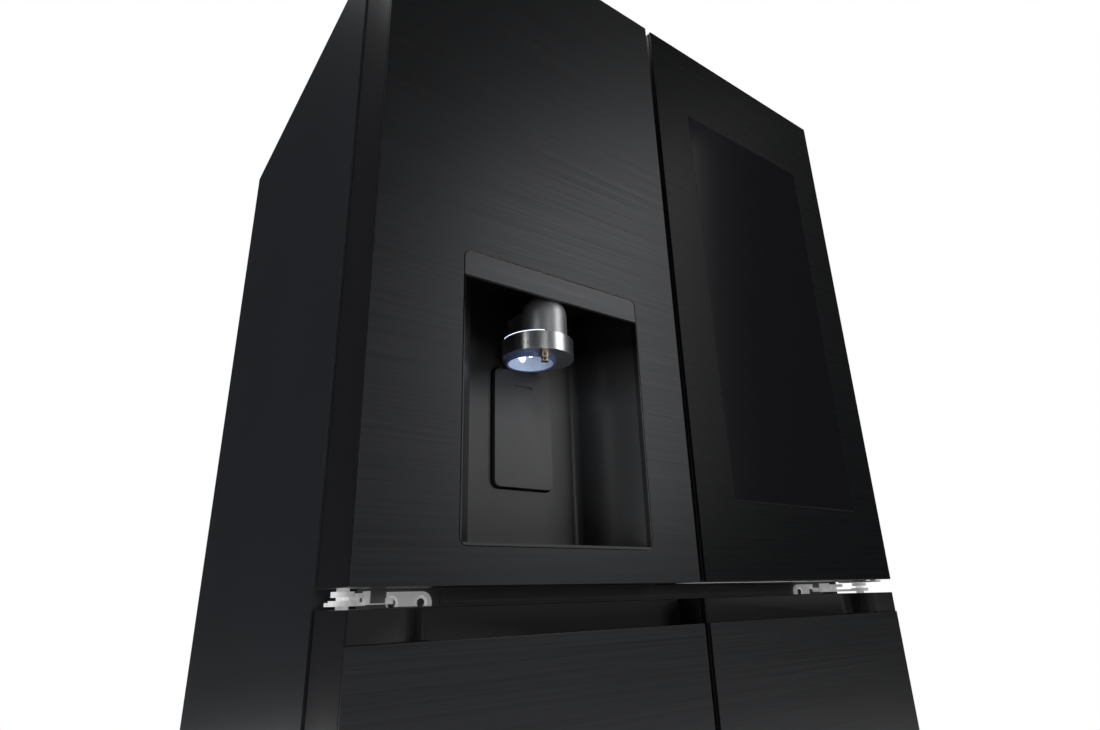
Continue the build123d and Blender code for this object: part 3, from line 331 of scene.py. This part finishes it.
MATERIALS = {**steel_finishes(), **plastic_finishes(), **metal_finishes(), **lit_finishes()}


# ---- piece helpers ----------------------------------------------------------------------------
EDGE_ANGLE = 35.0            # edges sharper than this stay sharp or are rounded, in degrees


def dress(piece, material):
    """Gives a piece one material."""
    piece.data.materials.clear()
    piece.data.materials.append(MATERIALS[material])


def add_piece(name, mesh, material, body, replaces=()):
    """A new piece of the object: its mesh, finish, body and the nodes it stands for."""
    piece = bpy.data.objects.new(name, mesh)
    bpy.context.scene.collection.objects.link(piece)
    dress(piece, material)
    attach(piece, body)
    if replaces:
        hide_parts(*replaces)
    return piece


def smooth(piece, angle=EDGE_ANGLE):
    """Shades a piece smooth, except at edges sharper than an angle."""
    for polygon in piece.data.polygons:
        polygon.use_smooth = True
    piece.data.set_sharp_from_angle(angle=math.radians(angle))


def round_edges(piece, width, segments=2):
    """Rounds the sharp edges of a piece and keeps its flat faces flat."""
    smooth(piece)
    bevel = piece.modifiers.new("edge_radius", "BEVEL")
    bevel.width = width
    bevel.segments = segments
    bevel.limit_method = "ANGLE"
    bevel.angle_limit = math.radians(EDGE_ANGLE)
    bevel.harden_normals = True
    return piece


def cleaned(node):
    """An editable copy of a CAD node's mesh, with its flat faces joined."""
    shape = bmesh.new()
    shape.from_mesh(NODES[node].data)
    bmesh.ops.remove_doubles(shape, verts=shape.verts, dist=0.000005)
    bmesh.ops.dissolve_limit(shape, angle_limit=math.radians(0.3), verts=shape.verts, edges=shape.edges)
    return shape


def to_mesh(shape, name):
    """Turns editable geometry into a mesh."""
    bmesh.ops.recalc_face_normals(shape, faces=shape.faces)
    mesh = bpy.data.meshes.new(name)
    shape.to_mesh(mesh)
    shape.free()
    return mesh


def softened(node, width, material=None, segments=2):
    """A CAD node with its edges rounded, which stands for the node."""
    slot = SLOT_OF[node]
    mesh = to_mesh(cleaned(node), node + "_formed")
    piece = add_piece(node + "_formed", mesh, material or slot, BODY_OF[node], [node])
    return round_edges(piece, width, segments)


def cuboid(shape, lo, hi):
    """Adds a box to editable geometry."""
    size = Vector(hi) - Vector(lo)
    middle = (Vector(hi) + Vector(lo)) / 2
    place = Matrix.Translation(middle) @ Matrix.Diagonal((*size, 1.0))
    bmesh.ops.create_cube(shape, size=1.0, matrix=place)


def blocks(name, corners, material, body, radius, segments=2):
    """Rounded blocks, given by their lowest and highest corners, as one piece."""
    shape = bmesh.new()
    for lo, hi in corners:
        cuboid(shape, lo, hi)
    return round_edges(add_piece(name, to_mesh(shape, name), material, body), radius, segments)


def revolve(shape, profile, centre, axis, segments=40):
    """Adds a turned shape: (radius, height) points swept round an axis through a point."""
    turn = Vector(axis).to_track_quat("Z", "Y").to_matrix().to_4x4()
    place = Matrix.Translation(centre) @ turn
    rings = []
    for radius, height in profile:
        angles = [2 * math.pi * k / segments for k in range(segments)]
        points = [(radius * math.cos(a), radius * math.sin(a), height) for a in angles]
        rings.append([shape.verts.new(place @ Vector(p)) for p in points])
    for low, high in zip(rings, rings[1:]):
        for k in range(segments):
            n = (k + 1) % segments
            shape.faces.new((low[k], low[n], high[n], high[k]))
    shape.faces.new(rings[0][::-1])
    shape.faces.new(rings[-1])


def turned(name, profile, places, axis, material, body, angle=EDGE_ANGLE):
    """The same turned shape at one or more places, as one piece."""
    shape = bmesh.new()
    for centre in places:
        revolve(shape, profile, centre, axis)
    piece = add_piece(name, to_mesh(shape, name), material, body)
    smooth(piece, angle)
    return piece


def tube(name, points, radius, material, body):
    """A tube along a smooth line."""
    curve = bpy.data.curves.new(name, "CURVE")
    curve.dimensions = "3D"
    curve.bevel_depth = radius
    curve.bevel_resolution = 4
    curve.use_fill_caps = True
    spline = curve.splines.new("NURBS")
    spline.points.add(len(points) - 1)
    for point, place in zip(spline.points, points):
        point.co = (*place, 1.0)
    spline.order_u = 4
    spline.use_endpoint_u = True
    spline.resolution_u = 8
    holder = bpy.data.objects.new(name + "_line", curve)
    mesh = bpy.data.meshes.new_from_object(holder)
    bpy.data.objects.remove(holder)
    add_piece(name, mesh, material, body)
    for polygon in mesh.polygons:
        polygon.use_smooth = True


def back_screws(name, places):
    """Pan-head screws with a round socket, on the back of the cabinet."""
    scale = BACK_SCREW_SCALE * MM
    profile = [(max(r, 0.01) * scale, h * scale) for r, h in SCREW_HEAD]
    turned(name, profile, places, (0, 1, 0), "screw_steel", "cabinet")


# ---- doors ------------------------------------------------------------------------------------
def swept_band(name, corners, profile, closed, material, body):
    """A band round a door: (y, inset) points swept past corners given as (x, z, inward x, inward z)."""
    shape = bmesh.new()
    loops = []
    for x, z, dx, dz in corners:
        loops.append([shape.verts.new((x + dx * inset, y, z + dz * inset)) for y, inset in profile])
    count = len(profile)
    pairs = list(zip(loops, loops[1:] + loops[:1]))
    for here, there in pairs if closed else pairs[:-1]:
        for k in range(count):
            n = (k + 1) % count
            shape.faces.new((here[k], here[n], there[n], there[k]))
    if not closed:
        shape.faces.new(loops[0])
        shape.faces.new(loops[-1][::-1])
    return round_edges(add_piece(name, to_mesh(shape, name), material, body), 0.2 * MM, 1)


def door_band(name, body, skin, back, closed):
    """The moulded edge of a door: it starts in a thin gap behind the folded sheet."""
    lo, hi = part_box(skin)
    start = lo.y + (SKIN_RETURN + 0.1) * MM
    inner, deep, proud = 1.15 * MM, 0.85 * MM, 0.1 * MM
    profile = [(start, inner), (start, deep), (start + 1.1 * MM, deep), (start + 1.5 * MM, proud),
               (back - 1.0 * MM, proud), (back, 0.5 * MM), (back, inner)]
    if closed:
        corners = [(lo.x, lo.z, 1, 1), (hi.x, lo.z, -1, 1), (hi.x, hi.z, -1, -1), (lo.x, hi.z, 1, -1)]
    else:
        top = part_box(skin.replace("skin", "cap"))[1].z
        corners = [(lo.x, top, 1, 0), (lo.x, lo.z, 1, 1), (hi.x, lo.z, -1, 1), (hi.x, top, -1, 0)]
    swept_band(name, corners, profile, closed, "edge_plastic", body)


def split_core(node, side):
    """A lower door's core as two pieces: the foam, and the white liner on its back."""
    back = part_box(f"lower_{side}_cap")[1].y - 2.5 * MM
    for name, keep_back in (("foam", False), ("liner", True)):
        shape = cleaned(node)
        everything = shape.verts[:] + shape.edges[:] + shape.faces[:]
        cut = bmesh.ops.bisect_plane(shape, geom=everything, plane_co=(0, back, 0), plane_no=(0, 1, 0),
                                     clear_inner=keep_back, clear_outer=not keep_back)
        rim = [e for e in cut["geom_cut"] if isinstance(e, bmesh.types.BMEdge)]
        bmesh.ops.holes_fill(shape, edges=rim)
        slot = "white_liner" if keep_back else "foam"
        piece = add_piece(f"{node}_{name}", to_mesh(shape, node + name), slot, BODY_OF[node], [node])
        round_edges(piece, 1.2 * MM if keep_back else 0.4 * MM, 3)


def dress_cad_nodes():
    """Every CAD node gets its finish; those that a piece stands for are then hidden."""
    for node, piece in NODES.items():
        dress(piece, SLOT_OF[node])


def make_doors():
    """Folded sheets, moulded edges and seals of the doors."""
    for skin in ("left_door_skin", "lower_left_skin", "lower_right_skin"):
        softened(skin, 0.9 * MM, segments=3)
    # The right door's sheet gets the darker copy of the steel, with painted shade.
    softened("right_outer_skin", 0.9 * MM, "steel_painted_shade", segments=3)
    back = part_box("left_door_core")[1].y
    door_band("left_door_edge", "left_door", "left_door_skin", back, True)
    door_band("viewing_door_edge", "viewing_door", "right_outer_skin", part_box("right_outer_core")[1].y, True)
    door_band("lower_left_edge", "lower_left_door", "lower_left_skin", back, False)
    door_band("lower_right_edge", "lower_right_door", "lower_right_skin", back, False)
    split_core("lower_left_core", "left")
    split_core("lower_right_core", "right")
    for cap in ("lower_left_cap", "lower_right_cap"):
        softened(cap, 0.6 * MM, "cap_plastic")
    for gasket in ("left_door_gasket", "right_inner_gasket", "right_outer_gasket",
                   "lower_left_gasket", "lower_right_gasket"):
        softened(gasket, 0.7 * MM)
    softened("left_door_liner", 2.0 * MM, segments=3)
    softened("mullion_flap", 0.8 * MM)


def make_inner_door_trim():
    """A rounded frame round the reach-through opening, and a dark band round the inner door."""
    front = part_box("right_outer_gasket")[1].y + 0.3 * MM
    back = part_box("left_door_core")[1].y
    (x0, x1), (z0, z1) = ([side * MM for side in pair] for pair in (REACH_X, REACH_Z))
    profile = [(front + 0.2 * MM, -9 * MM), (front - 1.2 * MM, -8 * MM), (front - 1.2 * MM, -1 * MM),
               (front + 3 * MM, 0.6 * MM), (back - 3 * MM, 0.6 * MM), (back - 3 * MM, -1 * MM)]
    corners = [(x0, z0, 1, 1), (x1, z0, -1, 1), (x1, z1, -1, -1), (x0, z1, 1, -1)]
    swept_band("reach_through_frame", corners, profile, True,
               "grey_plastic", "right_inner_door")
    inset = [(front + 0.3 * MM, -0.05 * MM), (front + 0.3 * MM, -0.45 * MM), (back - 0.4 * MM, -0.45 * MM),
             (back - 0.4 * MM, -0.05 * MM)]
    lo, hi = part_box("right_outer_skin")
    corners = [(lo.x, lo.z - 1 * MM, 1, 1), (hi.x, lo.z - 1 * MM, -1, 1), (hi.x, hi.z + 1 * MM, -1, -1),
               (lo.x, hi.z + 1 * MM, 1, -1)]
    swept_band("inner_door_edge", corners, inset, True, "edge_plastic", "right_inner_door")


# ---- dispenser --------------------------------------------------------------------------------
def make_dispenser():
    """Recess, control strip, spout, lit chute, nozzle, paddle and drip tray."""
    # The recess and the paddle have painted shade, darker towards the top.
    softened("dispenser_recess", 0.7 * MM, "recess_plastic", segments=3)
    softened("dispenser_header", 0.5 * MM, "header_metal", segments=3)
    softened("spout_body", 1.0 * MM, segments=3)
    softened("spout_ring", 0.8 * MM, segments=3)
    softened("dispenser_lever", 1.4 * MM, "paddle_plastic", segments=3)
    softened("drip_tray", 0.3 * MM)
    make_chute()
    make_nozzle()
    make_recess_trim()


def make_chute():
    """Clear rim round the ice chute, with a lit reflector and three lamps inside."""
    lo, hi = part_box("chute_lens")
    centre = Vector(((lo.x + hi.x) / 2, (lo.y + hi.y) / 2, lo.z))
    radius = (hi.x - lo.x) / 2
    rim = [(radius - 3 * MM, 0.6 * MM), (radius - 1.6 * MM, 0.0), (radius - 0.6 * MM, 0.2 * MM),
           (radius, 1.2 * MM), (radius, 20 * MM), (radius - 3 * MM, 20 * MM)]
    shape = bmesh.new()
    revolve(shape, rim + [rim[0]], centre, (0, 0, 1), 64)
    end_caps = [f for f in shape.faces if len(f.verts) > 4]
    bmesh.ops.delete(shape, geom=end_caps, context="FACES_ONLY")
    mesh = to_mesh(shape, "chute_rim")
    smooth(add_piece("chute_rim", mesh, "rim_glow", "left_door", ["chute_lens"]))
    funnel = [(0.1 * MM, 13 * MM), (9 * MM, 12.6 * MM), (18 * MM, 10.5 * MM), (25 * MM, 6.5 * MM),
              (radius - 3.1 * MM, 1.5 * MM), (radius - 3.1 * MM, 19 * MM), (0.1 * MM, 19.5 * MM)]
    turned("chute_reflector", funnel, [centre], (0, 0, 1), "lit_lens", "left_door", 50.0)
    dome = [(0.1 * MM, 6 * MM), (2.0 * MM, 6.6 * MM), (3.4 * MM, 8.4 * MM), (4.0 * MM, 12.5 * MM)]
    lamps = [centre + Vector((x * MM, y * MM, 0)) for x, y in LAMP_OFFSETS]
    turned("chute_lamps", dome, lamps, (0, 0, 1), "lamp_spot", "left_door")


def make_nozzle():
    """Stepped brass spout of the water outlet."""
    lo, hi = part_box("water_nozzle")
    centre = ((lo.x + hi.x) / 2, (lo.y + hi.y) / 2, lo.z)
    outline = [(3.4, 6), (3.4, 0.5), (3.9, 0), (4.6, 0), (5.1, 0.6), (5.1, 4.5), (4.7, 5.2),
               (5.5, 6.0), (5.5, 15.5), (5.0, 16), (0.1, 16)]
    profile = [(r * MM, h * MM) for r, h in outline]
    piece = turned("water_spout", profile, [centre], (0, 0, 1), "nozzle_brass", "left_door")
    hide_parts("water_nozzle")


def make_recess_trim():
    """Lit line on the ring, and a strip with a painted glint and a clip inside the case behind the recess's
    back wall.
    """
    lo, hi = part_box("spout_ring")
    radius = (hi.x - lo.x) / 2 - 0.5 * MM
    x, y, z = (lo.x + hi.x) / 2, lo.y + radius + 0.5 * MM, hi.z + 0.4 * MM
    steps = 22
    first, last = math.radians(168), math.radians(246)
    angles = [first + (last - first) * k / steps for k in range(steps + 1)]
    line = [(x + radius * math.cos(a), y + radius * math.sin(a), z) for a in angles]
    tube("ring_light", line, 0.55 * MM, "line_glow", "left_door")
    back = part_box("dispenser_recess")[1].y - 2 * MM
    strip = [((STRIP_X[0] * MM, back - 1.6 * MM, STRIP_Z[0] * MM),
              (STRIP_X[1] * MM, back + 0.2 * MM, STRIP_Z[1] * MM))]
    blocks("back_wall_strip", strip, "painted_strip_glint", "left_door", 0.5 * MM)
    clip = [((CLIP_X[0] * MM, back - 2.2 * MM, CLIP_Z[0] * MM),
             (CLIP_X[1] * MM, back + 0.2 * MM, CLIP_Z[1] * MM))]
    blocks("back_wall_clip", clip, "satin_metal", "left_door", 0.5 * MM)


# ---- cabinet ----------------------------------------------------------------------------------
EDGE_WIDTHS = {
    "cabinet_wrapper": 0.35, "hinge_covers": 1.2, "hinge_brackets": 0.6, "middle_hinges": 0.45,
    "hinge_screws": 0.8, "toe_grille": 0.5, "base_frame": 0.4, "back_panel": 0.3,
    "machine_room_cover": 0.4, "air_duct_cover": 0.6, "light_panel": 1.0, "shelf_frames": 0.8,
    "crisper_drawers": 0.9, "freezer_drawers": 0.9, "left_door_bins": 0.9, "right_door_bins": 0.9,
    "ice_room": 1.2, "fan_motors": 0.8, "levelling_leg_left": 0.5, "levelling_leg_right": 0.5,
    "rear_connections": 0.8, "glass_shelves": 0.5, "freezer_liners": 0.6, "fridge_liner": 0.6,
}


def make_cabinet():
    """Sheet metal, hinges, feet, covers, shelves, drawers, bins and the beam, with rounded edges."""
    for node, width in EDGE_WIDTHS.items():
        softened(node, width * MM)
    # The beam's finish has painted light: it is lighter than its real paint.
    softened("middle_beam", 0.3 * MM, "beam_painted_light")


def make_shelf_rails():
    """A satin rail on the front edge of each glass shelf."""
    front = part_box("shelf_frames")[0].y
    rails = []
    for level in SHELF_LEVELS:
        for x0, x1 in SHELF_SPANS:
            lo = (x0 * MM, front - 3 * MM, (level - 9) * MM)
            hi = (x1 * MM, front + 2 * MM, (level + 8) * MM)
            rails.append((lo, hi))
    blocks("shelf_rails", rails, "satin_metal", "cabinet", 1.6 * MM, 3)


def make_bin_rails(name, node, body, lows, height):
    """A satin rail on the rim of each bin of a door."""
    lo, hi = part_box(node)
    bars = []
    for low in lows:
        z = (low + height) * MM
        start = (lo.x - 1 * MM, hi.y - 3.5 * MM, z - 12 * MM)
        end = (hi.x + 1 * MM, hi.y + 1.5 * MM, z + 1.5 * MM)
        bars.append((start, end))
    blocks(name, bars, "satin_metal", body, 1.2 * MM, 3)


def make_drawer_grips():
    """A grip on the front of each freezer drawer."""
    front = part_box("freezer_drawers")[0].y
    grips = []
    for top in DRAWER_TOPS:
        for x0, x1 in GRIP_SPANS:
            lo = (x0 * MM, front - 9 * MM, (top - 34) * MM)
            hi = (x1 * MM, front + 1 * MM, (top - 22) * MM)
            grips.append((lo, hi))
    blocks("freezer_drawer_grips", grips, "white_plastic", "cabinet", 3 * MM, 3)


def make_trims():
    """Rails on the shelves and bins, and grips on the freezer drawers."""
    make_shelf_rails()
    make_bin_rails("left_bin_rails", "left_door_bins", "left_door", LEFT_BIN_LOWS, LEFT_BIN_HEIGHT)
    make_bin_rails("right_bin_rails", "right_door_bins", "right_inner_door", RIGHT_BIN_LOWS, RIGHT_BIN_HEIGHT)
    make_drawer_grips()


def make_back():
    """Screws on the back panel and on the cover of the machine room."""
    lo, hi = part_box("back_panel")
    y = hi.y - 1 * MM
    rows = [lo.z + 30 * MM + k * (hi.z - lo.z - 60 * MM) / 6 for k in range(7)]
    places = [(x, y, z) for z in rows for x in (lo.x + 14 * MM, hi.x - 14 * MM)]
    places += [(x * MM, y, hi.z - 14 * MM) for x in (-260, 0, 260)]
    back_screws("back_panel_screws", places)
    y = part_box("machine_room_cover")[1].y - 1 * MM
    back_screws("machine_cover_screws", [(x * MM, y, z * MM) for x in COVER_SCREWS_X for z in COVER_SCREWS_Z])


def make_inlet_thread():
    """The thread of the water inlet: a zigzag outline, turned round the inlet's axis."""
    start, pitch, turns = 353, 1.8, 8
    radius, root, bore = 13.2, 12.2, 9.1
    outline = []
    for k in range(turns):
        base = start + k * pitch
        outline += [(root, base), (radius, base + pitch / 2)]
    outline += [(root, 368.3), (10.2, 368.6), (bore, 368.6), (bore, 357)]
    profile = [(r * MM, h * MM) for r, h in outline]
    place = [value * MM for value in INLET_AT]
    turned("water_inlet_thread", profile, [place], (0, 1, 0), "zinc", "cabinet", 20.0)


def make_pipes():
    """Copper pipes at the compressor, and its terminal box."""
    runs = {
        "discharge_pipe": [(-185, 342, 150), (-185, 352, 150), (-150, 352, 120), (-60, 352, 96),
                           (20, 345, 82), (60, 320, 76), (72, 306, 76)],
        "suction_pipe": [(-185, 198, 120), (-185, 188, 122), (-205, 186, 150), (-240, 186, 200),
                         (-262, 190, 240), (-262, 190, 256)],
    }
    for name, points in runs.items():
        line = [(x * MM, y * MM, z * MM) for x, y, z in points]
        tube(name, line, PIPE_RADIUS * MM, "copper", "cabinet")
    box_at = [((-262 * MM, 248 * MM, 120 * MM), (-250 * MM, 292 * MM, 178 * MM))]
    blocks("compressor_terminals", box_at, "dark_plastic", "cabinet", 3 * MM, 3)


def make_running_gear():
    """Rear rollers, fans and compressor."""
    for node in ("rear_roller_left", "rear_roller_right"):
        softened(node, 0.8 * MM)
    for node in ("condenser_fan", "evaporator_fan"):
        softened(node, 0.4 * MM)
    mesh = to_mesh(cleaned("compressor"), "compressor")
    slot = SLOT_OF["compressor"]
    smooth(add_piece("compressor_formed", mesh, slot, BODY_OF["compressor"], ["compressor"]), 30.0)


# ---- glass ------------------------------------------------------------------------------------
def make_window():
    """The viewing door's dark glass, with its edges rounded."""
    softened("glass_panel", 0.5 * MM)


# ---- stage ------------------------------------------------------------------------------------
def make_floor():
    """A round pale floor, wide enough for every view of the object."""
    shape = bmesh.new()
    bmesh.ops.create_circle(shape, cap_ends=True, segments=128, radius=FLOOR_RADIUS)
    mesh = to_mesh(shape, "studio_floor")
    floor = bpy.data.objects.new("studio_floor", mesh)
    bpy.context.scene.collection.objects.link(floor)
    shader = Shader("studio_floor", (0.86, 0.86, 0.86), 0.8)
    shader.vary_colour(shader.noise((1.3, 1.3, 1.3), detail=2.0), 0.99, 1.01)
    shader.set("Emission Color", (1.0, 1.0, 1.0, 1.0))
    shader.set("Emission Strength", 0.5)
    floor.data.materials.append(shader.material)


def area_light(name, at, towards, size, power):
    """A white rectangular light, aimed at a point."""
    data = bpy.data.lights.new(name, "AREA")
    data.shape = "RECTANGLE"
    data.size, data.size_y = size
    data.energy = power
    lamp = bpy.data.objects.new(name, data)
    lamp.location = at
    lamp.rotation_mode = "QUATERNION"
    lamp.rotation_quaternion = (Vector(towards) - Vector(at)).to_track_quat("-Z", "Y")
    bpy.context.scene.collection.objects.link(lamp)


def make_world():
    """A white backdrop to the eye, which lights the object only faintly."""
    world = bpy.data.worlds.new("studio")
    world.use_nodes = True
    tree = world.node_tree
    backdrop = tree.nodes["Background"]
    backdrop.inputs["Color"].default_value = (1.0, 1.0, 1.0, 1.0)
    backdrop.inputs["Strength"].default_value = 1.0
    ambient = tree.nodes.new("ShaderNodeBackground")
    ambient.inputs["Color"].default_value = (0.90, 0.94, 1.0, 1.0)
    ambient.inputs["Strength"].default_value = AMBIENT
    rays = tree.nodes.new("ShaderNodeLightPath")
    mix = tree.nodes.new("ShaderNodeMixShader")
    tree.links.new(rays.outputs["Is Camera Ray"], mix.inputs["Fac"])
    tree.links.new(ambient.outputs["Background"], mix.inputs[1])
    tree.links.new(backdrop.outputs["Background"], mix.inputs[2])
    tree.links.new(mix.outputs["Shader"], tree.nodes["World Output"].inputs["Surface"])
    bpy.context.scene.world = world


def make_lights():
    """A softbox in front and to the right, and weaker ones over, behind and beside the object."""
    area_light("front_soft", (2.25, -3.4, 2.65), (-0.1, -0.37, 1.3), (1.7, 2.9), 42)
    area_light("centre_strip", (-0.9, -3.3, 1.3), (-0.2, -0.3, 1.0), (0.5, 1.4), 9)
    area_light("overhead", (0.0, 1.2, 5.2), (0.0, 1.2, 0.0), (3.0, 2.6), 200)
    area_light("left_fill", (-3.8, -0.6, 2.4), (-0.45, 0.2, 1.0), (1.4, 1.8), 30)
    area_light("back_fill", (1.2, 4.2, 2.4), (0.0, 0.37, 0.9), (2.4, 2.0), 70)
    area_light("right_fill", (4.0, 1.0, 2.2), (0.45, 0.1, 0.9), (1.5, 2.0), 30)
    bpy.context.scene.view_settings.view_transform = "Standard"


def make_camera():
    """Close to the left door's edge, a little under a metre up, looking up and to the right."""
    yaw, pitch, roll = (math.radians(angle) for angle in CAMERA_TURN)
    forward = Vector((math.sin(yaw) * math.cos(pitch), math.cos(yaw) * math.cos(pitch), math.sin(pitch)))
    level = Vector((math.cos(yaw), -math.sin(yaw), 0.0))
    upward = level.cross(forward)
    right = level * math.cos(roll) + upward * math.sin(roll)
    up = upward * math.cos(roll) - level * math.sin(roll)
    data = bpy.data.cameras.new("camera")
    data.sensor_width = 36.0
    data.lens = CAMERA_LENS
    data.clip_start = 0.02
    camera = bpy.data.objects.new("camera", data)
    turn = Matrix((right, up, -forward)).transposed().to_4x4()
    camera.matrix_world = Matrix.Translation(CAMERA_AT) @ turn
    bpy.context.scene.collection.objects.link(camera)
    bpy.context.scene.camera = camera


make_world()
make_floor()
make_lights()
make_camera()
dress_cad_nodes()
make_doors()
make_inner_door_trim()
make_dispenser()
make_cabinet()
make_trims()
make_back()
make_inlet_thread()
make_pipes()
make_running_gear()
make_window()
